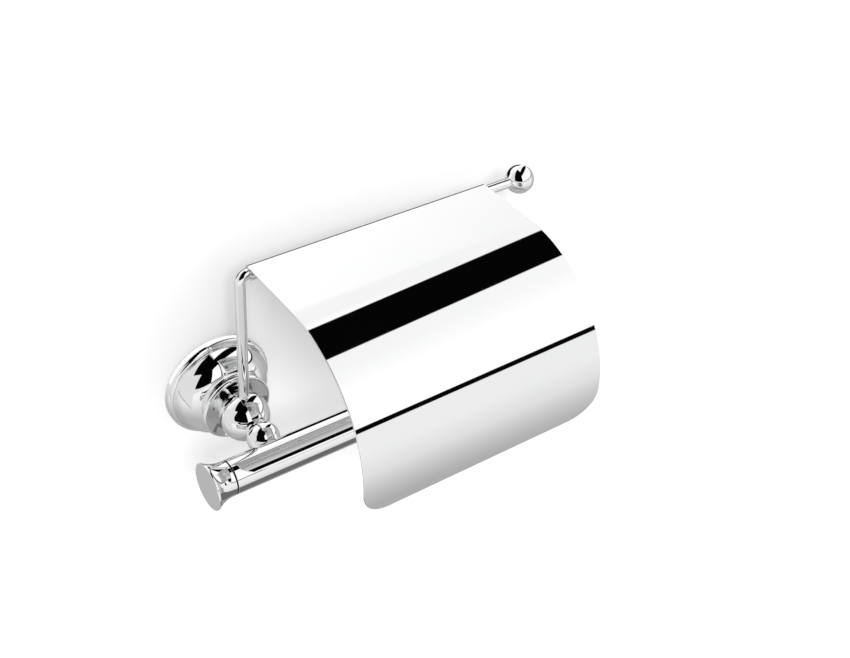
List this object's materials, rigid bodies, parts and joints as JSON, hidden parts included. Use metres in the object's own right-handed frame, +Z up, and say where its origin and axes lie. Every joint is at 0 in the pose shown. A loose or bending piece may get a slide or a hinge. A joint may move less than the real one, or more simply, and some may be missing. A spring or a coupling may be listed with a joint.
{
  "type": "toilet paper holder",
  "caption": "Wall-mounted chrome toilet paper holder: an open-ended roll bar on a turned post, with a curved cover hinged on a bent rod.",
  "frame": {"origin": "centre of the rose's back face, on the wall plane", "axes": "+X along the roll bar towards its free end, +Y into the wall, +Z up"},
  "size_m": [0.2147, 0.1334, 0.1254],
  "materials": {
    "chrome": "polished chrome plate",
    "cover_chrome": "polished chrome plate on sheet",
    "steel": "bright zinc-plated steel",
    "zinc": "die-cast zinc",
    "brass": "machined"
  },
  "bodies": {
    "holder": {"wall_plate": "zinc", "rose": "chrome", "rose_set_screw": "steel", "stud_washer": "steel", "stud_nut": "steel", "post_stud": "steel", "collar": "chrome", "post_ball": "chrome", "rod_set_screw": "steel", "neck": "chrome", "bar_insert": "brass", "bar_tube": "chrome", "left_end_cap": "chrome", "right_end_cap": "chrome", "cover_rod": "chrome", "finial": "chrome"},
    "cover": {"cover": "cover_chrome"}
  },
  "joints": [
    {"name": "cover_hinge", "type": "hinge", "parent": "holder", "child": "cover", "pos_m": [0, -0.0308, 0.0885], "axis": [-1, 0, 0], "range_deg": [-42, 115]}
  ]
}
